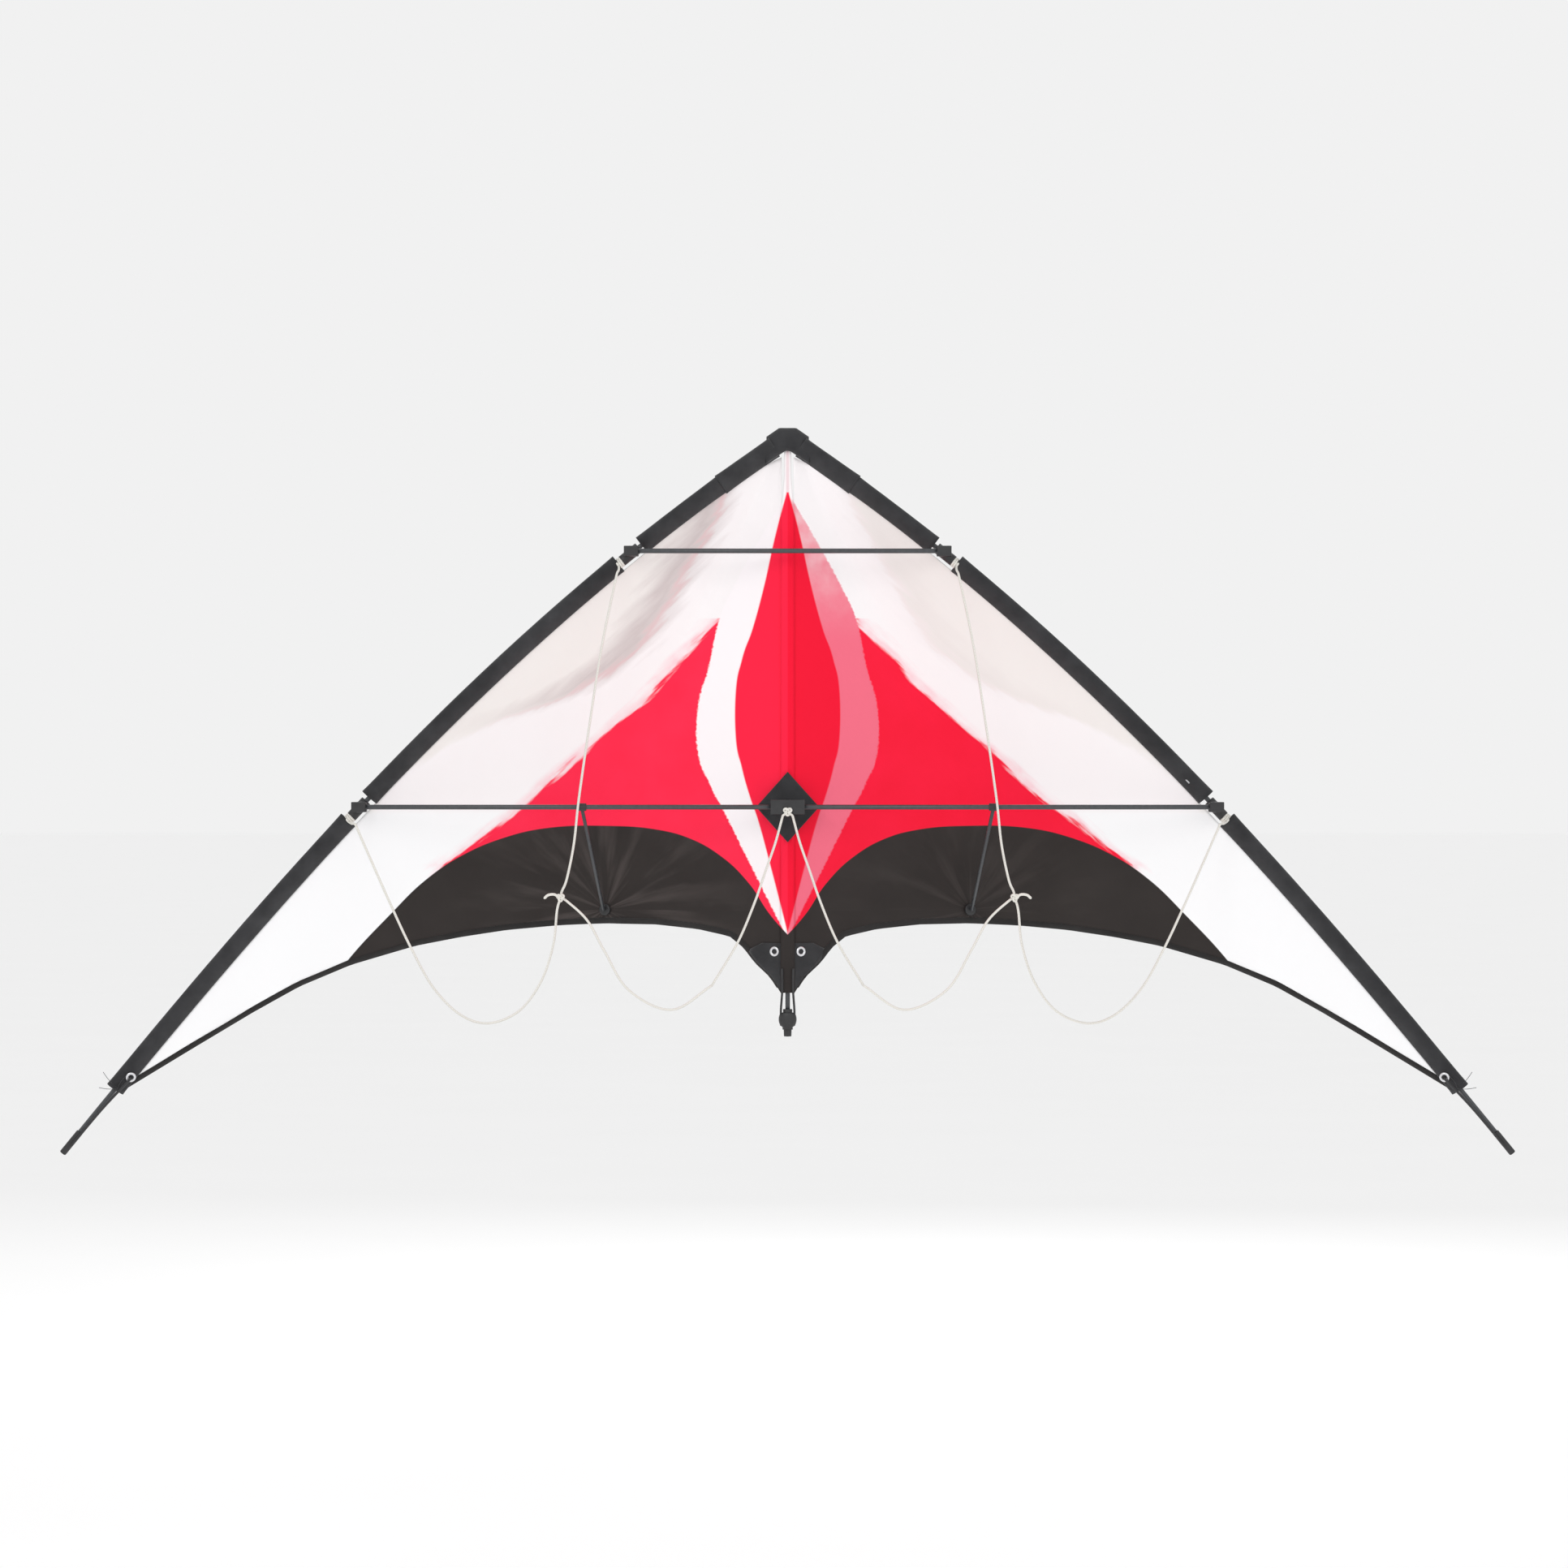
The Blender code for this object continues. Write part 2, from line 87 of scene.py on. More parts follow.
# The printed pattern, as (height z, distance x) in mm down each edge
SPEAR_EDGE = [(-54, 1), (-92, 11), (-128, 19), (-165, 29), (-191, 38), (-218, 43), (-253, 43),
              (-279, 38), (-304, 31), (-321, 25), (-361, 14), (-416, 0)]
BAND_EDGE = [(-58, 3), (-100, 28), (-131, 45), (-158, 57), (-195, 65), (-235, 75), (-262, 75),
             (-292, 65), (-315, 53), (-365, 28), (-416, 2)]
WING_EDGE = [(-157, 57), (-190, 88), (-217, 112), (-258, 158), (-286, 191), (-304, 209), (-320, 231),
             (-341, 258), (-360, 286)]
SHADE_EDGE = [(-63, 55), (-100, 74), (-126, 90), (-160, 109), (-190, 136), (-213, 170), (-229, 206),
              (-248, 255), (-300, 340)]
PANEL_EDGE = [(0, -417), (15, -400), (32, -375), (55, -353), (82, -338), (109, -331), (149, -328),
              (203, -330), (237, -338), (270, -352), (300, -372), (331, -402), (367, -441), (395, -480),
              (560, -700)]


# ---- Reading the frame -------------------------------------------------------------------------

def verts(node):
    """A CAD node's vertices at rest, as an array."""
    return np.array([v.co for v in frame["nodes"][node].data.vertices], float)


def joint(name):
    return next(j for j in frame["joints"] if j["name"] == name)


APEX = Vector(joint("panel_fold_right")["pos_m"])
CREASE = Vector(joint("wing_fold_right")["axis"]).normalized()
CREASE = CREASE if CREASE.z < 0 else -CREASE
INNER_N = Vector((-CREASE.y, CREASE.x, 0)).normalized()


def plane_normal(node):
    """Normal of the flat face of a CAD panel, pointing back."""
    points = verts(node)
    normal = Vector(np.linalg.svd(points - points.mean(0))[2][2])
    return normal if normal.y > 0 else -normal


WING_N = plane_normal("outer_sail_right")


def mirror(side, p):
    return Vector((side * p[0], p[1], p[2]))


def smooth(points, per_span=6):
    """A Catmull-Rom curve through points, as part.py draws its cords."""
    points = [Vector(p) for p in points]
    ends = [2 * points[0] - points[1], *points, 2 * points[-1] - points[-2]]
    out = []
    for i in range(1, len(ends) - 2):
        p0, p1, p2, p3 = ends[i - 1:i + 3]
        for k in range(per_span):
            t = k / per_span
            out.append(0.5 * (2 * p1 + (p2 - p0) * t + (2 * p0 - 5 * p1 + 4 * p2 - p3) * t ** 2
                              + (3 * p1 - p0 - 3 * p2 + p3) * t ** 3))
    out.append(points[-1])
    return out


# ---- Materials ---------------------------------------------------------------------------------

class Graph:
    """Short calls for a material's nodes."""

    def __init__(self, name, color, roughness, **sockets):
        self.mat = bpy.data.materials.new(name)
        self.mat.use_nodes = True
        self.tree = self.mat.node_tree
        self.shader = self.tree.nodes["Principled BSDF"]
        self.shader.inputs["Base Color"].default_value = (*color, 1)
        self.shader.inputs["Roughness"].default_value = roughness
        for socket, value in sockets.items():
            self.shader.inputs[socket.replace("_", " ")].default_value = value

    def put(self, socket, value):
        if isinstance(value, bpy.types.NodeSocket):
            self.tree.links.new(value, socket)
        else:
            socket.default_value = value

    def node(self, kind, inputs=None, **settings):
        made = self.tree.nodes.new("ShaderNode" + kind)
        for key, value in settings.items():
            setattr(made, key, value)
        for key, value in (inputs or {}).items():
            self.put(made.inputs[key], value)
        return made

    def math(self, operation, a, b=0.0, clamp=False):
        return self.node("Math", {0: a, 1: b}, operation=operation, use_clamp=clamp).outputs[0]

    def step(self, value, edge, soft):
        """0 where value is below edge and 1 above it, over a soft width."""
        made = self.node("MapRange", {"Value": self.math("SUBTRACT", value, edge), "From Min": -soft,
                                      "From Max": soft}, interpolation_type="SMOOTHSTEP")
        return made.outputs["Result"]

    def curve(self, value, points):
        """A smooth function of value through points, held level past both ends."""
        points = sorted(points)
        (x0, x1), ys = (points[0][0], points[-1][0]), [y for _, y in points]
        low, high = min(ys), max(ys)
        made = self.node("FloatCurve")
        line = made.mapping.curves[0]
        while len(line.points) < len(points):
            line.points.new(0.5, 0.5)
        for slot, (x, y) in zip(line.points, points):
            slot.location = ((x - x0) / (x1 - x0), (y - low) / (high - low))
        made.mapping.update()
        unit = self.node("MapRange", {"Value": value, "From Min": x0, "From Max": x1}).outputs["Result"]
        self.put(made.inputs["Value"], unit)
        return self.math("ADD", self.math("MULTIPLY", made.outputs[0], high - low), low)

    def noise(self, vector, scale, detail=3.0):
        return self.node("TexNoise", {"Vector": vector, "Scale": scale, "Detail": detail}).outputs[0]

    def mix(self, factor, a, b):
        made = self.node("Mix", data_type="RGBA")
        for key, value in ((0, factor), (6, a), (7, b)):
            if key and not isinstance(value, bpy.types.NodeSocket):
                value = (*value, 1)
            self.put(made.inputs[key], value)
        return made.outputs[2]

    def bump(self, height, strength, distance):
        made = self.node("Bump", {"Height": height, "Strength": strength, "Distance": distance})
        self.put(self.shader.inputs["Normal"], made.outputs[0])

    def color(self, value):
        self.put(self.shader.inputs["Base Color"], value)


def weave(g, coord, pitch):
    """Height of a plain weave whose threads are one pitch apart."""
    turns = 2 * math.pi / pitch
    split = g.node("SeparateXYZ", {0: coord}).outputs
    waves = [g.math("SINE", g.math("MULTIPLY", split[k], turns)) for k in (0, 1)]
    return g.math("MULTIPLY", *waves)


def sail_material():
    """Printed ripstop. REST holds each point's (x, z) in mm on the opened kite, so the print stays on
    the cloth when the wings fold."""
    g = Graph("sail_print", (0.9, 0.9, 0.9), 0.55, Sheen_Weight=0.08, Specular_IOR_Level=0.15)
    rest = g.node("Attribute", attribute_name="rest_mm", attribute_type="GEOMETRY").outputs["Vector"]
    split = g.node("SeparateXYZ", {0: rest}).outputs
    x, z = split[0], split[1]
    away = g.math("ABSOLUTE", x)
    right = g.step(x, 0, 0.5)
    # brush strokes that run along the wings' outer edges
    along = g.math("SUBTRACT", g.math("MULTIPLY", away, 0.75), g.math("MULTIPLY", z, 0.66))
    across = g.math("ADD", g.math("MULTIPLY", away, 0.66), g.math("MULTIPLY", z, 0.75))
    stroke = g.node("CombineXYZ", {0: g.math("MULTIPLY", along, 0.022), 1: g.math("MULTIPLY", across, 0.16),
                                   2: right}).outputs[0]
    streak = g.math("MULTIPLY", g.math("SUBTRACT", g.noise(stroke, 1, 4), 0.5), 26)
    fine = g.math("MULTIPLY", g.math("SUBTRACT", g.noise(rest, 0.4, 4), 0.5), 3)

    # Ivory ground, with the soft grey and pink shading under the leading edge
    shade_at = g.math("ADD", away, streak)
    beyond = g.math("SUBTRACT", shade_at, g.curve(z, SHADE_EDGE))
    cloth = g.mix(g.step(beyond, 0, 7), (0.93, 0.89, 0.90), (0.87, 0.83, 0.81))
    border = g.math("SUBTRACT", 1, g.math("DIVIDE", g.math("ABSOLUTE", g.math("SUBTRACT", beyond, 8)), 24),
                    clamp=True)
    fading = g.step(z, -228, 30)
    left_more = g.math("SUBTRACT", 0.85, g.math("MULTIPLY", right, 0.70))
    shade = g.math("MULTIPLY", g.math("MULTIPLY", border, left_more), fading)
    cloth = g.mix(shade, cloth, (0.58, 0.50, 0.50))
    rim = g.math("SUBTRACT", 1, g.math("DIVIDE", g.math("ABSOLUTE", beyond), 5), clamp=True)
    rim = g.math("MULTIPLY", g.math("MULTIPLY", rim, left_more), g.math("MULTIPLY", fading, 0.5))
    cloth = g.mix(rim, cloth, (0.78, 0.42, 0.45))
    lower = g.step(g.math("MULTIPLY", z, -1), 316, 3)
    cloth = g.mix(lower, cloth, (0.93, 0.93, 0.94))

    # Red wings, with a streaky outer edge
    wing_gap = g.math("SUBTRACT", g.curve(z, WING_EDGE), g.math("ADD", away, streak))
    inside = g.step(wing_gap, 0, 2.5)
    below_top = g.step(g.math("MULTIPLY", z, -1), 156, 0.8)
    wing = g.math("MULTIPLY", inside, below_top)
    blush = g.math("MULTIPLY", g.step(wing_gap, -7, 9), below_top)
    cloth = g.mix(g.math("MULTIPLY", blush, g.noise(rest, 0.09, 5)), cloth, (0.93, 0.42, 0.50))
    left_red = g.mix(g.noise(rest, 0.03, 3), (0.96, 0.012, 0.055), (0.99, 0.026, 0.082))
    right_red = g.mix(g.noise(rest, 0.03, 3), (0.88, 0.002, 0.028), (0.96, 0.008, 0.048))
    red = g.mix(right, left_red, right_red)
    cloth = g.mix(wing, cloth, red)

    # The curved band either side of the spear, white on the left and pink on the right
    band = g.math("SUBTRACT", 1, g.step(g.math("ADD", away, fine), g.curve(z, BAND_EDGE), 0.8))
    band = g.math("MULTIPLY", band, g.step(z, -417, 1))
    band = g.math("MULTIPLY", band, g.step(g.math("MULTIPLY", z, -1), 60, 4))
    pale_top = g.math("MULTIPLY", g.step(z, -125, 55), g.noise(rest, 0.08, 4))
    pink = g.mix(pale_top, (0.88, 0.155, 0.235), (0.93, 0.72, 0.75))
    band_color = g.mix(right, (0.95, 0.90, 0.92), pink)
    cloth = g.mix(band, cloth, band_color)

    # Seam down the middle, tinted above the spear
    seam = g.math("MULTIPLY", g.math("SUBTRACT", 1, g.step(away, 1.3, 0.9)), 0.45)
    cloth = g.mix(seam, cloth, (0.74, 0.42, 0.47))

    # Central spear
    spear = g.math("SUBTRACT", 1, g.step(away, g.curve(z, SPEAR_EDGE), 0.7))
    spear = g.math("MULTIPLY", spear, g.math("SUBTRACT", 1, g.step(z, -53, 0.6)))
    spear = g.math("MULTIPLY", spear, g.step(z, -417, 0.6))
    cloth = g.mix(spear, cloth, g.mix(right, (0.98, 0.010, 0.052), (0.90, 0.001, 0.030)))

    # Black panel along the trailing edge, with painted highlight streaks on its creases
    over = g.math("SUBTRACT", g.curve(away, PANEL_EDGE), z)
    panel = g.step(over, 0, 0.5)
    black = g.mix(g.noise(rest, 0.02, 4), (0.020, 0.016, 0.015), (0.036, 0.030, 0.028))
    # Painted highlights: lighter streaks fanning out from the standoff's foot stand in for light catching
    # the creases. They fade away from the foot and are weaker on the right.
    foot_x = g.math("SUBTRACT", away, FOOT[0] / MM)
    foot_z = g.math("SUBTRACT", z, FOOT[2] / MM)
    reach = g.node("VectorMath", {0: g.node("CombineXYZ", {0: foot_x, 1: foot_z}).outputs[0]},
                   operation="LENGTH").outputs["Value"]
    ray = g.node("CombineXYZ", {0: g.math("MULTIPLY", g.math("ARCTAN2", foot_z, foot_x), 4.2),
                                1: g.math("MULTIPLY", reach, 0.012), 2: right}).outputs[0]
    painted_crease_highlights = g.step(g.noise(ray, 1, 3), 0.56, 0.12)
    near = g.math("SUBTRACT", 1.05, g.math("DIVIDE", reach, 130), clamp=True)
    near = g.math("MULTIPLY", near, g.math("SUBTRACT", 0.9, g.math("MULTIPLY", right, 0.55)))
    black = g.mix(g.math("MULTIPLY", painted_crease_highlights, near), black, (0.072, 0.060, 0.057))
    cloth = g.mix(panel, cloth, black)
    g.color(cloth)

    grid = weave(g, rest, 1.0)
    ripstop = g.math("MULTIPLY", weave(g, rest, 6.0), 0.6)
    g.bump(g.math("ADD", grid, ripstop), 0.12, 0.0002)
    g.put(g.shader.inputs["Roughness"], g.math("ADD", g.math("MULTIPLY", g.noise(rest, 0.06), 0.14), 0.46))
    return g.mat


def cloth_material(name, dark, light, pitch=0.0011):
    """Heavy woven black polyester, its colour blotched with painted highlights."""
    g = Graph(name, dark, 0.82, Sheen_Weight=0.25, Sheen_Roughness=0.5, Specular_IOR_Level=0.25)
    coord = g.node("TexCoord").outputs["Object"]
    # Painted highlights: blotches of the lighter tone in the base colour stand in for light catching the
    # cloth. The same noise also crumples the bump.
    sheen_and_crumple = g.noise(coord, 60, 4)
    g.color(g.mix(g.math("MULTIPLY", sheen_and_crumple, g.math("ADD", g.noise(coord, 9, 2), 0.35)), dark, light))
    split = g.node("SeparateXYZ", {0: coord}).outputs
    turns = 2 * math.pi / pitch
    a = g.math("SINE", g.math("MULTIPLY", g.math("ADD", split[0], split[2]), turns))
    b = g.math("SINE", g.math("MULTIPLY", g.math("SUBTRACT", split[0], split[2]), turns))
    g.bump(g.math("ADD", g.math("MULTIPLY", a, b), g.math("MULTIPLY", sheen_and_crumple, 1.5)), 0.4, 0.0003)
    return g.mat


def rod_material():
    """Pultruded glass-fibre rod, satin, with faint lengthwise streaks."""
    g = Graph("rod_fibre", (0.04, 0.042, 0.046), 0.36, Coat_Weight=0.25, Coat_Roughness=0.3)
    coord = g.node("TexCoord").outputs["Object"]
    streaks = g.noise(coord, 420, 2)
    g.color(g.mix(streaks, (0.025, 0.028, 0.032), (0.06, 0.064, 0.07)))
    g.put(g.shader.inputs["Roughness"], g.math("ADD", g.math("MULTIPLY", streaks, 0.2), 0.28))
    return g.mat


def vinyl_material():
    g = Graph("black_vinyl", (0.02, 0.02, 0.021), 0.45, Specular_IOR_Level=0.45)
    coord = g.node("TexCoord").outputs["Object"]
    grain = g.noise(coord, 900, 2)
    g.color(g.mix(g.noise(coord, 120), (0.014, 0.014, 0.015), (0.034, 0.034, 0.036)))
    g.bump(grain, 0.2, 0.0002)
    return g.mat


def metal_material():
    g = Graph("nickel", (0.72, 0.72, 0.74), 0.28, Metallic=1.0)
    coord = g.node("TexCoord").outputs["Object"]
    g.put(g.shader.inputs["Roughness"], g.math("ADD", g.math("MULTIPLY", g.noise(coord, 500), 0.25), 0.18))
    g.color(g.mix(g.noise(coord, 150), (0.62, 0.62, 0.64), (0.80, 0.80, 0.82)))
    return g.mat


def cord_material():
    """Braided white line. ALONG runs down the cord in metres and AROUND once round it."""
    g = Graph("braided_cord", (0.80, 0.78, 0.73), 0.7, Sheen_Weight=0.2)
    data = g.node("Attribute", attribute_name="braid", attribute_type="GEOMETRY").outputs["Vector"]
    split = g.node("SeparateXYZ", {0: data}).outputs
    twist = g.math("MULTIPLY", split[0], 2 * math.pi / 0.0024)
    turns = g.math("MULTIPLY", split[1], 2 * math.pi * 3)
    a = g.math("SINE", g.math("ADD", twist, turns))
    b = g.math("SINE", g.math("SUBTRACT", twist, turns))
    strand = g.math("MAXIMUM", a, b)
    shade = g.math("ADD", g.math("MULTIPLY", strand, 0.25), 0.6, clamp=True)
    g.color(g.mix(shade, (0.58, 0.55, 0.49), (0.86, 0.84, 0.79)))
    g.bump(strand, 0.5, 0.0002)
    return g.mat


# ---- Mesh helpers ------------------------------------------------------------------------------

def new_mesh(name, points, faces, mat, smooth_shade=True):
    mesh = bpy.data.meshes.new(name)
    mesh.from_pydata([tuple(p) for p in points], [], faces)
    mesh.update()
    obj = bpy.data.objects.new(name, mesh)
    bpy.context.scene.collection.objects.link(obj)
    mesh.materials.append(mat)
    if smooth_shade:
        mesh.shade_smooth()
    return obj


def vector_attribute(obj, name, values):
    made = obj.data.attributes.new(name, "FLOAT_VECTOR", "POINT")
    made.data.foreach_set("vector", np.asarray(values, np.float32).ravel())


def frames_along(points):
    """A direction and two sideways vectors at each point, turned as little as possible."""
    out, side = [], None
    for i, p in enumerate(points):
        ahead = (points[min(i + 1, len(points) - 1)] - points[max(i - 1, 0)]).normalized()
        if side is None:
            side = ahead.orthogonal().normalized()
        side = (side - ahead * side.dot(ahead)).normalized()
        out.append((ahead, side, ahead.cross(side)))
    return out


def cord_mesh(name, points, radius, mat, sides=10):
    """A round cord with rounded ends, carrying its length and turn for the braid."""
    rings, data, run = [], [], 0.0
    frames = frames_along(points)
    caps = (0.3, 0.75, 1.0)
    stations = [(points[0] - frames[0][0] * radius * (1 - c), frames[0], c) for c in caps[:-1]]
    stations += [(p, f, 1.0) for p, f in zip(points, frames)]
    stations += [(points[-1] + frames[-1][0] * radius * (1 - c), frames[-1], c) for c in caps[-2::-1]]
    last = stations[0][0]
    for centre, (_, side, up), grow in stations:
        run += (centre - last).length
        last = centre
        for k in range(sides):
            a = 2 * math.pi * k / sides
            rings.append(centre + (side * math.cos(a) + up * math.sin(a)) * radius * grow)
            data.append((run, k / sides, 0))
    faces = []
    for i in range(len(stations) - 1):
        for k in range(sides):
            j = (k + 1) % sides
            faces.append((i * sides + k, i * sides + j, (i + 1) * sides + j, (i + 1) * sides + k))
    faces.append(tuple(range(sides))[::-1])
    faces.append(tuple(range((len(stations) - 1) * sides, len(stations) * sides)))
    obj = new_mesh(name, rings, faces, mat)
    vector_attribute(obj, "braid", data)
    return obj


def baked(obj):
    """Apply an object's modifiers, so that the mesh itself is what rides or blends."""
    ready = obj.evaluated_get(bpy.context.evaluated_depsgraph_get())
    mesh = bpy.data.meshes.new_from_object(ready)
    obj.modifiers.clear()
    obj.data = mesh
    return obj


def thicken(obj, thickness):
    made = obj.modifiers.new("thickness", "SOLIDIFY")
    made.thickness = thickness
    made.offset = 0
    return baked(obj)


def sweep(name, stations, profile, mat, closed=True):
    """A body whose cross-section is profile(i) at each (centre, outward, normal) station."""
    points, faces = [], []
    for i, (centre, out, normal) in enumerate(stations):
        ring = profile(i)
        points += [centre + out * a + normal * b for a, b in ring]
    n = len(ring)
    for i in range(len(stations) - 1):
        for k in range(n):
            j = (k + 1) % n
            faces.append((i * n + k, (i + 1) * n + k, (i + 1) * n + j, i * n + j))
    if closed:
        faces.append(tuple(range(n)))
        faces.append(tuple(range(len(points) - n, len(points)))[::-1])
    return new_mesh(name, points, faces, mat)


def outward_facing(obj):
    bm = bmesh.new()
    bm.from_mesh(obj.data)
    bmesh.ops.recalc_face_normals(bm, faces=bm.faces)
    bm.to_mesh(obj.data)
    bm.free()
    return obj


# ---- Lines of the kite, off the frame -----------------------------------------------------------

class LeadingEdge:
    """Centreline of the right leading edge: smooth functions of x - z, fitted to the CAD rods."""

    def __init__(self):
        points = np.vstack([verts(f"leading_edge_rod_{p}_right") for p in ("upper", "lower")])
        run = points[:, 0] - points[:, 2]
        self.low = run.min()
        run = np.append(run, [APEX.x - APEX.z] * len(run))
        points = np.vstack([points, [list(APEX)] * len(points)])
        self.fits = [np.polynomial.Polynomial.fit(run, points[:, k], 5) for k in range(3)]

    def at(self, run):
        return Vector([float(f(run)) for f in self.fits])

    def run_of(self, node, end):
        """x - z at the top (0) or bottom (1) end of a CAD node."""
        points = verts(node)
        run = points[:, 0] - points[:, 2]
        return float(run.max() if end else run.min())

    def stations(self, low, high, count, side=1):
        """(centre, outward in the sail's plane, the plane's normal) at even steps."""
        out = []
        for run in np.linspace(low, high, count):
            ahead = (self.at(run + MM) - self.at(run - MM)).normalized()
            outward = ahead.cross(WING_N)
            outward = (outward if outward.x > 0 else -outward).normalized()
            out.append((mirror(side, self.at(run)), mirror(side, outward), mirror(side, WING_N)))
        return out


LE = LeadingEdge()
SLEEVE_END = LE.run_of("sleeve_lower_right", 1)
TOW_POINT = (186, -21.5, -386)        # mm, the knot that gathers a side's three legs
CENTRE_KNOT = (0, -22.8, -315.5)      # mm, where both centre legs meet in front of the tee
TEE_SLOT = (3.6 * MM, 6 * MM)         # half sizes of the opening in the diamond patch
UPPER_STRIP = (-18 * MM, -305 * MM)   # z of the spine strip's ends, above and below the tee
LOWER_STRIP = (-319 * MM, -465 * MM)
STRIP_TAPER = (40, 70)                # mm below the apex: half width above the first, full below
CAMERA_AWAY, FRAME_WIDTH = 4.0, 1.2995    # m
FRAME_OFFSET = (-3, 7)                # mm, x and z of the frame's middle from the object's
NOSE_RUN = 27 * MM       # x - z where the nose covers start, under the cap
TRAILING = [(5, -466), (14, -452), (27, -440), (36, -428), (48, -418.5), (74, -413), (110, -409.5),
            (151, -409), (192, -411), (235, -414.5), (272, -419.5), (309, -426), (360, -440),
            (400, -456), (437, -476), (485, -504), (531, -531)]
FOOT = verts("standoff_foot_right").mean(0)
LE_RUNS = [LE.at(run) for run in np.linspace(LE.low, SLEEVE_END, 60)]
LE_DOWN, LE_OUT = [-p.z for p in LE_RUNS], [p.x for p in LE_RUNS]


# ---- Sail --------------------------------------------------------------------------------------

def depth(x, z):
    """Sail surface behind (x, z), in metres: the two CAD planes, rounded off where they meet."""
    inner = APEX.y - (INNER_N.x * (x - APEX.x) + INNER_N.z * (z - APEX.z)) / INNER_N.y
    outer = APEX.y - (WING_N.x * (x - APEX.x) + WING_N.z * (z - APEX.z)) / WING_N.y
    soft = (0.4 + 4.6 * min(1.0, -z / 0.2) ** 2) * MM
    return -soft * math.log(math.exp(-inner / soft) + math.exp(-outer / soft))


def crease_x(z):
    return APEX.x + (z - APEX.z) * CREASE.x / CREASE.z


def billow(x, z):
    """How far the cloth bellies back between the spine, the crease and the leading edge."""
    ridge = crease_x(z)
    edge = float(np.interp(-z, LE_DOWN, LE_OUT))
    if x < ridge:
        belly = 5 * MM * math.sin(math.pi * max(0.0, x) / ridge) * min(1.0, ridge / 0.15)
    else:
        wide = max(edge - ridge, 1 * MM)
        belly = 7 * MM * math.sin(math.pi * min(1.0, (x - ridge) / wide)) * min(1.0, wide / 0.2)
    reach = math.hypot(x - FOOT[0], z - FOOT[2])
    return belly * (1 - math.exp(-(reach / (34 * MM)) ** 2))


def surface(x, z):
    return depth(x, z) + billow(x, z)


def wrinkle(side, x, z, down):
    """Creases that fan out from the standoff's foot, and a light flutter along the trailing edge."""
    dx, dz = x - FOOT[0], z - FOOT[2]
    reach = math.hypot(dx, dz)
    angle = math.atan2(dz, dx)
    pull = reach / (18 * MM) * math.exp(-reach / (55 * MM))
    strength = 1.25 if side < 0 else 0.7
    turn = 1.3 if side < 0 else 0.2
    fan = strength * MM * pull * math.sin(9 * angle + turn) * (0.6 + 0.4 * math.sin(2 * angle))
    flutter = 1.3 * MM * down ** 10 * math.sin(x * 2 * math.pi / 0.071 + side)
    soft = 1.1 * MM * math.sin(x * 31 + z * 17 + side) * math.sin(z * 29 - x * 11)
    return fan + flutter + soft * min(1, reach / (40 * MM))


def column(fraction):
    """Where a line from the nose meets the trailing edge, as (x, z) in metres."""
    pts = [Vector((x * MM, z * MM)) for x, z in TRAILING]
    runs = np.concatenate([[0], np.cumsum([(q - p).length for p, q in zip(pts, pts[1:])])])
    want = fraction * runs[-1]
    return (float(np.interp(want, runs, [p.x for p in pts])),
            float(np.interp(want, runs, [p.y for p in pts])))


SAIL_COLUMNS, SAIL_ROWS = 90, 80
TOP = (5.0 * MM, -24 * MM)


def sail_point(side, i, j):
    """Point of the sail at column i of SAIL_COLUMNS from the spine and row j from the nose."""
    across, down = i / SAIL_COLUMNS, j / SAIL_ROWS
    ex, ez = column(across)
    x = TOP[0] + (ex - TOP[0]) * down
    z = TOP[1] + (ez - TOP[1]) * down
    # the leading edge bows outward from its chord, and columns near it share the bow
    top_run, end_run = LE.low, SLEEVE_END - 10 * MM
    run = top_run + (end_run - top_run) * down
    on_edge = LE.at(run)
    chord_x = TOP[0] + (TRAILING[-1][0] * MM - TOP[0]) * down
    chord_z = TOP[1] + (TRAILING[-1][1] * MM - TOP[1]) * down
    share = max(0.0, (across - 0.30) / 0.70) ** 2.2
    ahead = (LE.at(run + MM) - LE.at(run - MM)).normalized()
    inward = 6.5 * MM
    x += (on_edge.x - inward * -ahead.z - chord_x) * share
    z += (on_edge.z - inward * ahead.x - chord_z) * share
    edge = 4 * across * (1 - across)
    return Vector((side * x, surface(x, z) + wrinkle(side, x, z, down) * min(1, 2 * edge), z))


def sail(side, tag):
    points, rest, faces = [], [], []
    flat_area = 0.0
    for j in range(SAIL_ROWS + 1):
        for i in range(SAIL_COLUMNS + 1):
            p = sail_point(side, i, j)
            points.append(p)
            rest.append((p.x / MM, p.z / MM, 0))
    n = SAIL_COLUMNS + 1
    for j in range(SAIL_ROWS):
        for i in range(SAIL_COLUMNS):
            faces.append((j * n + i, j * n + i + 1, (j + 1) * n + i + 1, (j + 1) * n + i))
    for face in faces:
        a, b, c, d = (points[k] for k in face)
        flat_area += ((b - a).cross(c - a).length + (c - a).cross(d - a).length) / 2
    obj = new_mesh(f"sail_cloth_{tag}", points, faces, SAIL)
    vector_attribute(obj, "rest_mm", rest)
    bm = bmesh.new()
    bm.from_mesh(obj.data)
    bmesh.ops.remove_doubles(bm, verts=bm.verts, dist=0.02 * MM)
    bm.to_mesh(obj.data)
    bm.free()
    thicken(outward_facing(obj), 0.3 * MM)
    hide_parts(f"inner_sail_{tag}", f"outer_sail_{tag}")
    return obj, flat_area


def crease_blend(obj):
    """Bake a piece's transform into its mesh."""
    out = (mirror(1, WING_N).cross(CREASE)).normalized()
    out = out if out.x > 0 else -out
    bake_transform(obj)


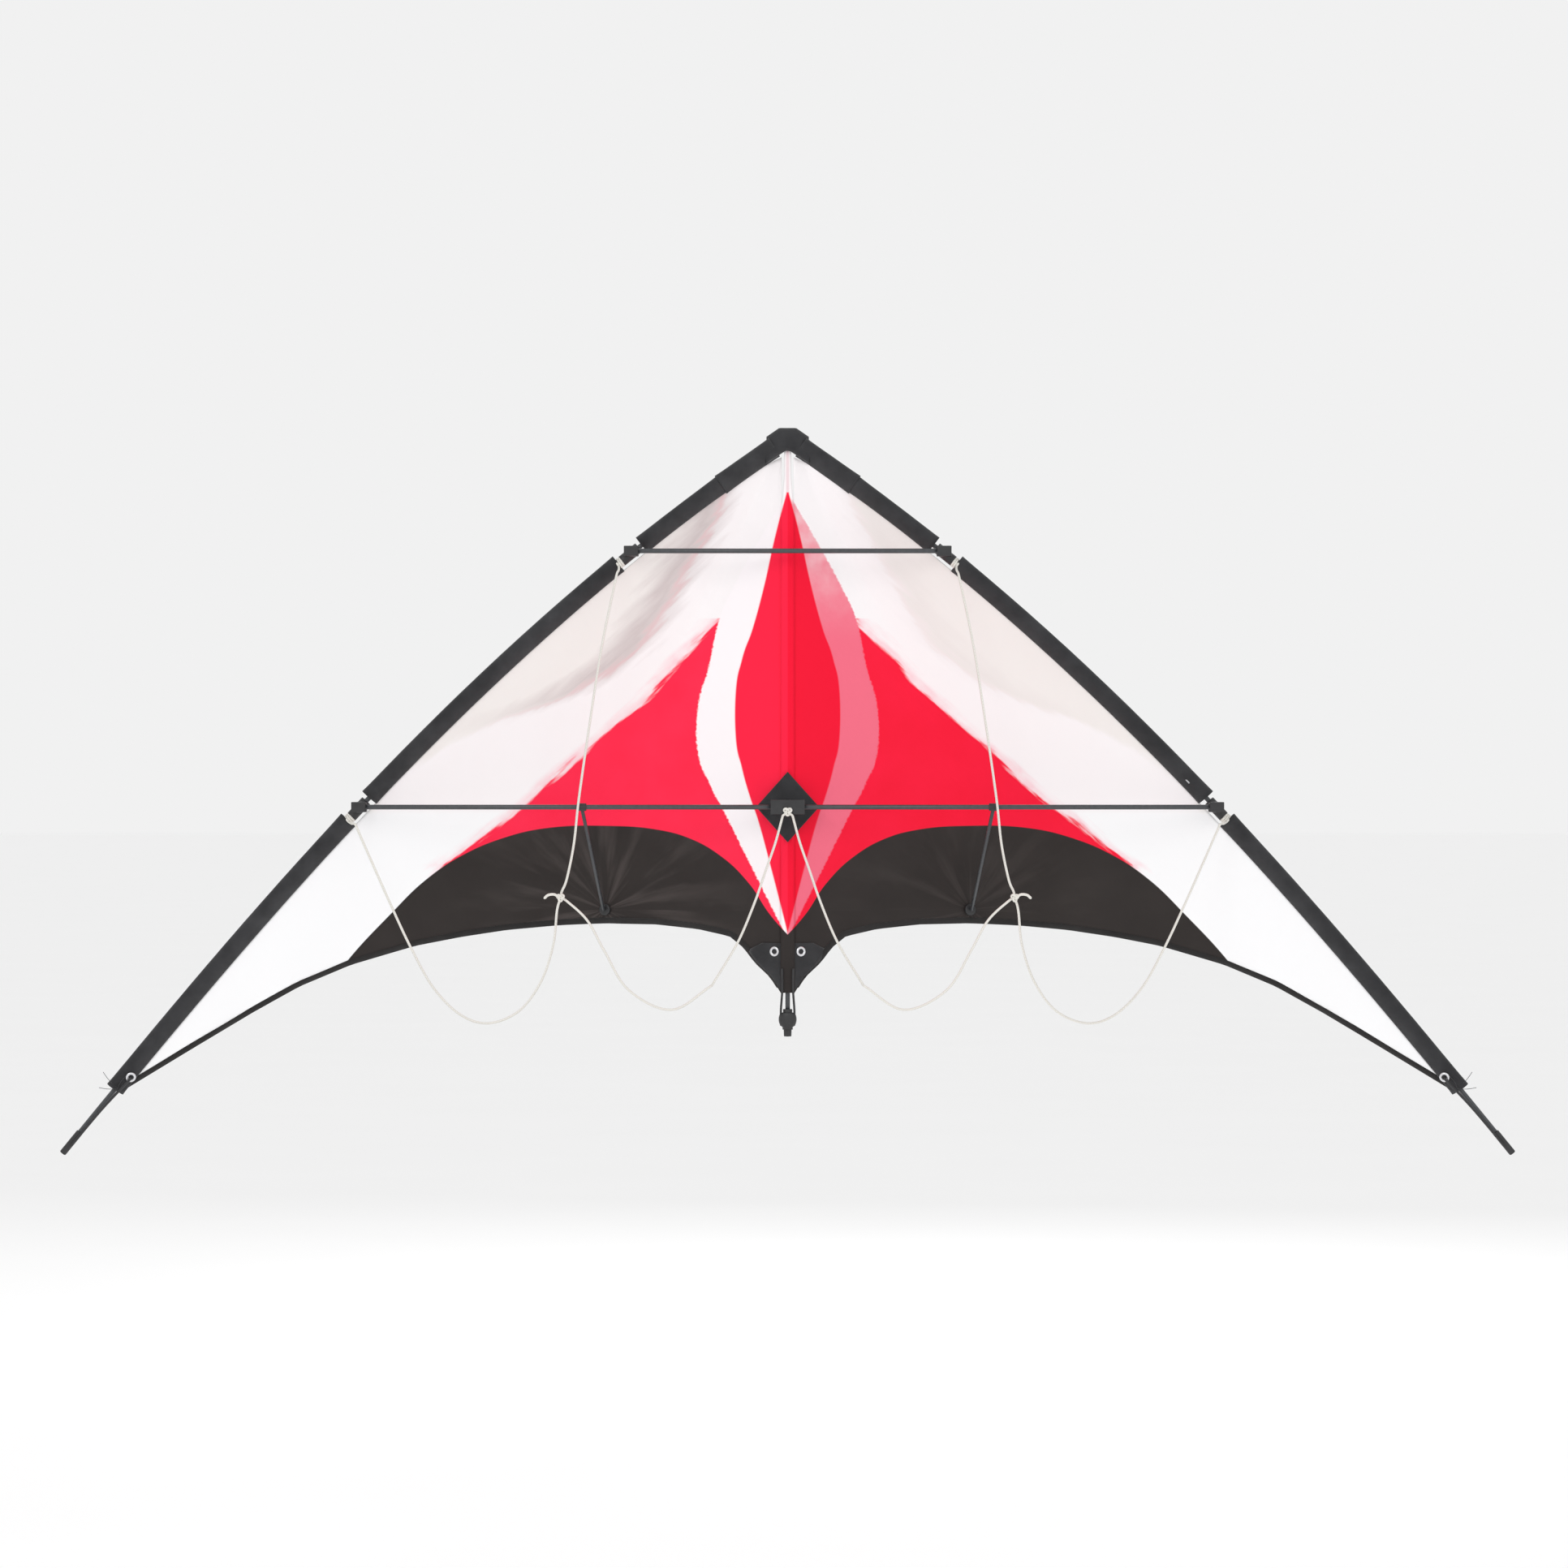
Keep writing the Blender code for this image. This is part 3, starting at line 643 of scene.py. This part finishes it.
def hem(side, tag):
    """Black binding folded over the trailing edge."""
    stations = []
    for i in range(1, SAIL_COLUMNS + 1):       # the first column is left free for the tail bungee
        edge = sail_point(side, i, SAIL_ROWS)
        above = sail_point(side, i, SAIL_ROWS - 2)
        stations.append((edge, (edge - above).normalized()))
    points, faces = [], []
    ring = [(-4.4, 0.45), (-4.2, 0.7), (0.1, 0.75), (0.6, 0.35), (0.6, -0.35), (0.1, -0.75),
            (-4.2, -0.7), (-4.4, -0.45)]
    for i, (edge, down) in enumerate(stations):
        before = stations[max(i - 1, 0)][0]
        after = stations[min(i + 1, len(stations) - 1)][0]
        along = (after - before).normalized()
        normal = along.cross(down).normalized()
        normal = normal if normal.y > 0 else -normal
        true_down = normal.cross(along).normalized()
        true_down = true_down if true_down.dot(down) > 0 else -true_down
        points += [edge + true_down * a * MM + normal * b * MM for a, b in ring]
    n = len(ring)
    for i in range(len(stations) - 1):
        for k in range(n):
            faces.append((i * n + k, i * n + (k + 1) % n, (i + 1) * n + (k + 1) % n, (i + 1) * n + k))
    faces.append(tuple(range(n)))
    faces.append(tuple(range(len(points) - n, len(points)))[::-1])
    obj = outward_facing(new_mesh(f"trailing_hem_{tag}", points, faces, TAPE))
    return obj


# ---- Sleeves, nose and patches -----------------------------------------------------------------

def sleeve_piece(side, tag, node, name, half_width, half_thick, start=None):
    """Fabric folded round the leading edge and sewn flat along its inner side."""
    low, high = start or LE.run_of(f"{node}_right", 0), LE.run_of(f"{node}_right", 1)
    count = max(12, round((high - low) / (4.5 * MM)))
    stations = LE.stations(low, high, count, side)

    def profile(i):
        at = i / (count - 1)
        ripple = 1 + 0.035 * math.sin(i * 0.9 + side) + 0.03 * math.sin(i * 0.37)
        ends = 1 + 0.05 * (math.exp(-at * count / 2.5) + math.exp(-(1 - at) * count / 2.5))
        ring = []
        for k in range(20):
            a = 2 * math.pi * k / 20
            across = math.cos(a)
            # full round the rod, thin at the seam on the inner side
            fat = 0.30 + 0.70 * (0.5 + 0.5 * across) ** 0.6
            ring.append((half_width * across * ends, half_thick * math.sin(a) * fat * ripple * ends))
        return ring
    obj = outward_facing(sweep(name, stations, profile, CLOTH))
    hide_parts(f"{node}_{tag}")
    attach(obj, f"wing_{tag}")
    return stations


def stitches(name, stations, inset, height, body, pitch=2):
    """A row of short raised threads, on the front and the back of a seam."""
    points, faces = [], []
    for face_side in (-1, 1):
        for i in range(0, len(stations) - 1, pitch):
            (a, out, normal), (b, _, _) = stations[i], stations[i + 1]
            start = a + out * inset + normal * height * face_side
            end = start + (b - a) * 0.62
            base = len(points)
            for p, grow in ((start, 0.4), (start.lerp(end, 0.5), 1), (end, 0.4)):
                lift = normal * face_side * 0.28 * MM * grow
                points += [p + out * 0.25 * MM, p + lift, p - out * 0.25 * MM, p - lift]
            for r in (0, 4):
                for k in range(4):
                    j = (k + 1) % 4
                    faces.append((base + r + k, base + r + j, base + r + 4 + j, base + r + 4 + k))
            faces.append((base, base + 1, base + 2, base + 3))
            faces.append((base + 8, base + 9, base + 10, base + 11))
    obj = outward_facing(new_mesh(name, points, faces, THREAD))
    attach(obj, body)
    return obj


def diamond():
    """Reinforcing patch over the centre tee, as soft cloth with a turned edge."""
    low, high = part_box("diamond_patch")
    centre = (low + high) / 2
    half_x, half_z = (high.x - low.x) / 2, (high.z - low.z) / 2
    points, faces, n = [], [], 28
    for j in range(n + 1):
        for i in range(n + 1):
            u, v = i / n * 2 - 1, j / n * 2 - 1
            x, z = (u + v) / 2 * half_x, (v - u) / 2 * half_z
            edge = max(abs(u), abs(v))
            rise = -0.5 * MM * (1 if edge > 0.88 else 0) + 0.5 * MM * math.sin(9 * u) * math.sin(7 * v)
            points.append((centre.x + x, centre.y + rise, centre.z + z))
    for j in range(n):
        for i in range(n):
            u, v = (i + 0.5) / n * 2 - 1, (j + 0.5) / n * 2 - 1
            if abs((u + v) / 2) * half_x < TEE_SLOT[0] and abs((v - u) / 2) * half_z < TEE_SLOT[1]:
                continue
            k = j * (n + 1) + i
            faces.append((k, k + 1, k + n + 2, k + n + 1))
    obj = thicken(outward_facing(new_mesh("diamond_cloth", points, faces, CLOTH)), 0.7 * MM)
    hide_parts("diamond_patch")
    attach(obj, "root")


# ---- Cords -------------------------------------------------------------------------------------

def bridle_leg(side, tag, name, place, route):
    """A leg of the bridle, or a part of one, hanging along its route."""
    line = smooth([mirror(side, Vector(p) * MM) for p in route], 8)
    length = sum((b - a).length for a, b in zip(line, line[1:]))
    obj = cord_mesh(f"bridle_{name}_{tag}", line, CORD_D / 2, CORD)
    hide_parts(f"bridle_{place}_{tag}")
    return obj, line, length


def knot(name, centre, size, body, replaced=None):
    """A small overhand knot: one cord that winds twice round in a trefoil."""
    pts = []
    for k in range(49):
        a = 2 * math.pi * k / 48
        pts.append(centre + Vector((math.sin(a) + 2 * math.sin(2 * a), -0.8 * math.sin(3 * a),
                                    math.cos(a) - 2 * math.cos(2 * a))) * size / 6)
    obj = cord_mesh(name, pts[:-1], CORD_D / 2 * 0.95, CORD)
    if replaced:
        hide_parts(replaced)
    if body:
        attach(obj, body)
    return obj


# ---- Small pieces ------------------------------------------------------------------------------

def nose_cap():
    """Heavy cloth cap over the nose, flat on top and falling away along both leading edges."""
    stations, points, faces = 25, [], []
    reach, ring = 17.5 * MM, 20
    for i in range(stations):
        x = (i / (stations - 1) * 2 - 1) * reach
        fall = max(0.0, abs(x) - 7 * MM) * 0.69
        top, bottom = -fall, -19 * MM - max(0.0, abs(x) - 2 * MM) * 0.66
        end = abs(x) / reach
        thick = 6.4 * MM * (1 - 0.18 * end ** 6)
        middle, half = (top + bottom) / 2, (top - bottom) / 2
        for k in range(ring):
            a = 2 * math.pi * k / ring
            square = (abs(math.cos(a)) ** 4 + abs(math.sin(a)) ** 4) ** -0.25
            points.append((x, 1.4 * MM + thick * math.sin(a) * square * 0.82,
                           middle + half * math.cos(a) * square))
    for i in range(stations - 1):
        for k in range(ring):
            j = (k + 1) % ring
            faces.append((i * ring + k, (i + 1) * ring + k, (i + 1) * ring + j, i * ring + j))
    faces += [tuple(range(ring)), tuple(range(len(points) - ring, len(points)))[::-1]]
    obj = outward_facing(new_mesh("nose_cap_cloth", points, faces, CLOTH))
    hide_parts("nose_block")
    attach(obj, "root")


def cap_collar():
    """Shrunk sleeve that holds both bungee ends against the spine's cap."""
    low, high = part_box("spine_cap")
    axis_y = (low.y + high.y) / 2
    points, faces, rows, around = [], [], 14, 24
    for j in range(rows + 1):
        t = j / rows
        z = high.z - 3 * MM + (-14 * MM) * t
        swell = math.sin(math.pi * min(1, max(0, t * 1.15 + 0.04))) ** 0.45
        for k in range(around):
            a = 2 * math.pi * k / around
            points.append(((4.3 + 3.1 * swell) * MM * math.cos(a),
                           axis_y + (4.2 + 1.0 * swell) * MM * math.sin(a), z))
    for j in range(rows):
        for k in range(around):
            n = (k + 1) % around
            faces.append((j * around + k, (j + 1) * around + k, (j + 1) * around + n, j * around + n))
    faces += [tuple(range(around)), tuple(range(rows * around, (rows + 1) * around))[::-1]]
    obj = outward_facing(new_mesh("spine_cap_collar", points, faces, VINYL))
    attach(obj, "root")


def centre_strip(place, top, bottom):
    """Strip of sailcloth over the spine, carrying the same print, narrower under the nose covers."""
    rows, points, rest, faces = 40, [], [], []
    for j in range(rows + 1):
        z = top + (bottom - top) * j / rows
        width = 0.5 + 0.5 * min(1, max(0, (-z / MM - STRIP_TAPER[0]) / (STRIP_TAPER[1] - STRIP_TAPER[0])))
        for x in (-5.8, -3, 0, 3, 5.8):
            points.append((x * width * MM, 0.35 * MM + 0.15 * MM * math.cos(x), z))
            rest.append((x * width, z / MM, 0))
    for j in range(rows):
        for i in range(4):
            k = j * 5 + i
            faces.append((k, k + 1, k + 6, k + 5))
    obj = new_mesh(f"centre_strip_{place}", points, faces, SAIL)
    vector_attribute(obj, "rest_mm", rest)
    thicken(outward_facing(obj), 0.3 * MM)
    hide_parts(f"spine_tape_{place}")
    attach(obj, "root")


def moulded(node, body, voxel=0.5 * MM):
    """A fitting as it comes from its mould: the CAD solid with its corners rounded off."""
    obj = bpy.data.objects.new(f"{node}_moulded", frame["nodes"][node].data.copy())
    bpy.context.scene.collection.objects.link(obj)
    skin = obj.modifiers.new("skin", "REMESH")
    skin.mode = "VOXEL"
    skin.voxel_size = voxel
    soften = obj.modifiers.new("soften", "SMOOTH")
    soften.factor = 0.6
    soften.iterations = 5
    baked(obj)
    obj.data.materials.clear()
    obj.data.materials.append(VINYL)
    obj.data.shade_smooth()
    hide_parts(node)
    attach(obj, body)


def rod(node, body, radius):
    """A round rod in place of a faceted one, straight or along the leading edge."""
    if node.startswith("leading_edge"):
        side, right = (-1 if node.endswith("left") else 1), node.replace("left", "right")
        ends = LE.run_of(right, 0), LE.run_of(right, 1)
        line = [mirror(side, LE.at(run)) for run in np.linspace(*ends, 60)]
    else:
        points = verts(node)
        middle = points.mean(0)
        axis = np.linalg.svd(points - middle)[2][0]
        reach = (points - middle) @ axis
        line = [Vector(middle + axis * t) for t in (reach.min(), 0, reach.max())]
    obj = cord_mesh(f"{node}_round", line, radius, ROD, 20)
    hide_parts(node)
    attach(obj, body)


def eyelet(name, centre, normal, outer, hole, body, replaced=None):
    """A rolled metal eyelet: a rounded ring facing along normal."""
    normal = Vector(normal).normalized()
    a_dir = normal.orthogonal().normalized()
    b_dir = normal.cross(a_dir)
    middle, tube = (outer + hole) / 2, (outer - hole) / 2
    points, faces, around, across = [], [], 28, 10
    for i in range(around):
        turn = 2 * math.pi * i / around
        out = a_dir * math.cos(turn) + b_dir * math.sin(turn)
        for k in range(across):
            b = 2 * math.pi * k / across
            points.append(centre + out * (middle + tube * math.cos(b)) + normal * tube * 0.7 * math.sin(b))
    for i in range(around):
        for k in range(across):
            n, j = (i + 1) % around, (k + 1) % across
            faces.append((i * across + k, n * across + k, n * across + j, i * across + j))
    obj = outward_facing(new_mesh(name, points, faces, METAL))
    if replaced:
        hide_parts(replaced)
    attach(obj, body)


def tail_patch(side, tag):
    """Second layer of black cloth at the tail, with the bungee's eyelet through it."""
    edge = sorted((z * MM, x * MM) for x, z in TRAILING[:4])
    zs, xs = [z for z, _ in edge], [x for _, x in edge]
    top, bottom, rows, columns = -424 * MM, -465 * MM, 16, 8
    points, faces = [], []
    for j in range(rows + 1):
        z = top + (bottom - top) * j / rows
        wide = float(np.interp(z, zs, xs)) - 1.2 * MM
        wide = min(wide, 5 * MM + (z - top) * -1.9 + 16 * MM)
        for i in range(columns + 1):
            x = 5.2 * MM + (wide - 5.2 * MM) * i / columns
            points.append((side * x, surface(x, z) - 0.9 * MM, z))
    for j in range(rows):
        for i in range(columns):
            k = j * (columns + 1) + i
            faces.append((k, k + 1, k + columns + 2, k + columns + 1))
    obj = thicken(outward_facing(new_mesh(f"tail_patch_{tag}", points, faces, CLOTH)), 0.5 * MM)
    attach(obj, f"inner_panel_{tag}")
    x, z = 11 * MM, -431 * MM
    eyelet(f"tail_eyelet_{tag}", Vector((side * x, surface(x, z) - 1.2 * MM, z)), mirror(side, INNER_N),
           4.2 * MM, 2.0 * MM, f"inner_panel_{tag}")


def fitting_loop(side, tag, place, target):
    """White line tied round the leading edge beside a connector, and on to its bridle leg."""
    run = LE.run_of(f"{place}_connector_right", 1) + 2.6 * MM
    (centre, out, normal), (ahead, _, _) = LE.stations(run, run + 2 * MM, 2, side)
    along = (ahead - centre).normalized()
    radius, pitch, turns = 3.6 * MM, 1.9 * MM, 2.25
    line = []
    for k in range(46):
        a = 2 * math.pi * turns * k / 45
        line.append(centre + along * pitch * (k / 45 * turns - turns / 2) + out * radius * math.cos(a)
                    - normal * radius * 1.25 * math.sin(a))
    last = line[-1]
    line += smooth([last, last.lerp(target, 0.35) - normal * 2 * MM, last.lerp(target, 0.75), target], 6)[1:]
    obj = cord_mesh(f"bridle_loop_{place}_{tag}", line, CORD_D / 2 * 0.95, CORD)
    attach(obj, f"wing_{tag}")


def short_cord(name, route, radius, mat, body):
    obj = cord_mesh(name, smooth(route, 5), radius, mat, 8)
    if body:
        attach(obj, body)
    return obj


def thread_tails(side, tag):
    """Loose ends of the sleeve's stitching thread, at its tip."""
    (base, out, _), = LE.stations(SLEEVE_END - 4 * MM, SLEEVE_END - 4 * MM, 1, side)
    for k, (turn, reach) in enumerate(((0.4, 17), (-0.5, 14), (1.9, 12))):
        away = mirror(side, Vector((math.cos(turn), -0.25, math.sin(turn) + 0.3)).normalized())
        bend = mirror(side, Vector((-math.sin(turn), 0, math.cos(turn))))
        route = [base - mirror(side, WING_N) * 4 * MM + away * reach * MM * t + bend * 4 * MM * t * t
                 for t in (0, 0.3, 0.65, 1)]
        short_cord(f"tip_thread_{k}_{tag}", route, 0.22 * MM, THREAD, f"wing_{tag}")


# ---- Make everything ---------------------------------------------------------------------------

SAIL = sail_material()
CLOTH = cloth_material("black_sleeve", (0.008, 0.008, 0.0095), (0.060, 0.060, 0.064))
TAPE = cloth_material("binding_tape", (0.010, 0.009, 0.009), (0.032, 0.030, 0.029), 0.0008)
THREAD = cloth_material("black_thread", (0.03, 0.03, 0.032), (0.10, 0.10, 0.105), 0.0006)
ROD = rod_material()
VINYL = vinyl_material()
METAL = metal_material()
CORD = cord_material()


def make_camera():
    """Square-on from the front, with the photo's margins round the kite."""
    low, high = cad_box
    middle = (Vector(low) + Vector(high)) / 2
    data = bpy.data.cameras.new("camera")
    data.sensor_width = 36
    data.lens = data.sensor_width * CAMERA_AWAY / FRAME_WIDTH
    camera = bpy.data.objects.new("camera", data)
    camera.location = (middle.x + FRAME_OFFSET[0] * MM, middle.y - CAMERA_AWAY,
                       middle.z + FRAME_OFFSET[1] * MM)
    camera.rotation_euler = (math.pi / 2, 0, 0)
    bpy.context.scene.collection.objects.link(camera)
    bpy.context.scene.camera = camera


def area_light(name, place, aim, size, power):
    data = bpy.data.lights.new(name, "AREA")
    data.shape = "DISK"
    data.size = size
    data.energy = power
    light = bpy.data.objects.new(name, data)
    light.location = place
    light.rotation_euler = (Vector(aim) - Vector(place)).to_track_quat("-Z", "Y").to_euler()
    bpy.context.scene.collection.objects.link(light)


def make_studio():
    """Pale floor, a bright even world, and large soft lights before and behind the sail."""
    world = bpy.data.worlds.new("studio")
    world.use_nodes = True
    background = world.node_tree.nodes["Background"]
    background.inputs["Color"].default_value = (1, 1, 1, 1)
    background.inputs["Strength"].default_value = 0.88
    bpy.context.scene.world = world
    bpy.context.scene.view_settings.view_transform = "Standard"
    area_light("key", (-1.2, -3.2, 1.4), (0, 0, -0.3), 1.6, 22)
    area_light("fill", (1.8, -3.0, 0.2), (0, 0, -0.3), 2.4, 7)
    area_light("back", (0.4, 2.6, 1.0), (0, 0, -0.3), 2.2, 14)
    floor_z, reach = cad_box[0][2] - 0.35, 60
    corners = [(x * reach, y * reach, floor_z) for x, y in ((-1, -1), (1, -1), (1, 1), (-1, 1))]
    floor = new_mesh("floor", corners, [(0, 1, 2, 3)], floor_material())


def floor_material():
    g = Graph("pale_floor", (0.93, 0.93, 0.93), 0.9)
    coord = g.node("TexCoord").outputs["Object"]
    g.color(g.mix(g.noise(coord, 3), (0.97, 0.97, 0.97), (0.99, 0.99, 0.99)))
    return g.mat


def half_way(obj):
    """Bake a small piece's transform into its mesh."""
    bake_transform(obj)


def make_bridle(side, tag):
    """Three legs to the tow knot."""
    tow = mirror(side, Vector(TOW_POINT) * MM)
    tied = knot(f"tow_knot_{tag}", tow, 6 * MM, None, f"tow_point_{tag}")
    pigtail = [tow + mirror(side, Vector(p) * MM) for p in PIGTAIL]
    tail = short_cord(f"pigtail_{tag}", pigtail, CORD_D / 2 * 1.1, CORD, None)
    legs = (("upper", "upper", UPPER_LEG + [INTO_KNOT]), ("outer", "lower", OUTER_LEG + [INTO_KNOT]))
    for place, fitting, route in legs:
        obj, line, length = bridle_leg(side, tag, f"{place}_line", place, route)
        top = line[0]
        fitting_loop(side, tag, fitting, top)
        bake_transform(obj)
        if place == "upper":
            for small in (tied, tail):
                half_way(small)
    # the centre leg is one line, in two pieces because it crosses two joints
    halves = (("upper", CENTRE_LEG[:CENTRE_SPLIT + 1]), ("lower", CENTRE_LEG[CENTRE_SPLIT:] + [INTO_KNOT]))
    for part, route in halves:
        obj, line, length = bridle_leg(side, tag, f"centre_{part}_line", "centre", route)
        if part == "upper":
            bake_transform(obj)
        else:
            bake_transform(obj)
    first = [mirror(side, Vector(p) * MM)
             for p in ((0.4, -22.6, -316.5), (2, -22.8, -317.5), (4, -21, -319))]
    short_cord(f"bridle_loop_centre_{tag}", first, CORD_D / 2, CORD, "root")


def dress(nodes, mat):
    for name in nodes:
        obj = frame["nodes"][name]
        obj.data.materials.clear()
        obj.data.materials.append(mat)


make_camera()
make_studio()
for side, tag in SIDES:
    make_bridle(side, tag)
    cloth, flat_area = sail(side, tag)
    crease_blend(cloth)
    edge = hem(side, tag)
    crease_blend(edge)
    for place in ("upper", "middle", "lower"):
        line = sleeve_piece(side, tag, f"sleeve_{place}", f"sleeve_{place}_cloth_{tag}", 8 * MM, 4.3 * MM)
        stitches(f"sleeve_{place}_stitch_{tag}", line, -6.6 * MM, 1.6 * MM, f"wing_{tag}")
    sleeve_piece(side, tag, "nose_cover", f"nose_cover_cloth_{tag}", 9 * MM, 4.8 * MM, NOSE_RUN)
    tail_patch(side, tag)
    thread_tails(side, tag)
    for node in (f"leading_edge_rod_upper_{tag}", f"leading_edge_rod_lower_{tag}"):
        rod(node, f"wing_{tag}", ROD_R)
    rod(f"lower_spreader_{tag}", f"lower_spreader_{tag}", ROD_R)
    rod(f"standoff_rod_{tag}", f"standoff_{tag}", 1.5 * MM)
    for node, body in ((f"upper_connector_{tag}", f"wing_{tag}"), (f"lower_connector_{tag}", f"wing_{tag}"),
                       (f"nock_{tag}", f"wing_{tag}"), (f"standoff_clip_{tag}", f"lower_spreader_{tag}"),
                       (f"standoff_foot_{tag}", f"inner_panel_{tag}")):
        moulded(node, body)
    dress([f"tip_bungee_{tag}", f"tail_bungee_{tag}"], VINYL)
    ring = verts(f"tip_grommet_{tag}")
    eyelet(f"tip_eyelet_{tag}", Vector(ring.mean(0)), mirror(side, WING_N), 4.3 * MM, 2.0 * MM,
           f"wing_{tag}", f"tip_grommet_{tag}")
    dress([f"leading_edge_ferrule_{tag}"], METAL)
diamond()
nose_cap()
cap_collar()
knot("centre_knot", Vector(CENTRE_KNOT) * MM, 6.5 * MM, "root")
centre_strip("upper", *UPPER_STRIP)
centre_strip("lower", *LOWER_STRIP)
rod("upper_spreader", "upper_spreader", ROD_R)
rod("spine_rod", "root", ROD_R)
moulded("spine_cap", "root")
moulded("centre_tee", "root")
